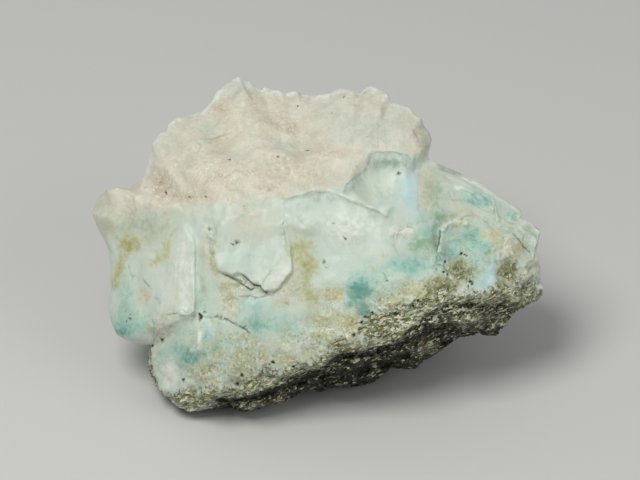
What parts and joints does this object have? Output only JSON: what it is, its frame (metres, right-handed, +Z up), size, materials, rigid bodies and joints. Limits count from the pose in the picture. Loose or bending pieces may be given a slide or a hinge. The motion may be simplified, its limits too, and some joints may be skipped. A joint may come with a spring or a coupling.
{
  "type": "rough larimar",
  "caption": "Broken lump of blue pectolite with a cream sugary cap, a pale blue plated face and a dark layered matrix rind, lying on a small flat.",
  "frame": {"origin": "middle of the footprint box, at the height of the flat that the stone lies on", "axes": "+X to the right along the broad broken face, +Y away from the side that the face looks to, +Z up"},
  "size_m": [0.0805, 0.0502, 0.047],
  "materials": {
    "larimar": "broken, waxy to sugary"
  },
  "bodies": {
    "root": {"rough_larimar": "larimar"}
  },
  "joints": []
}
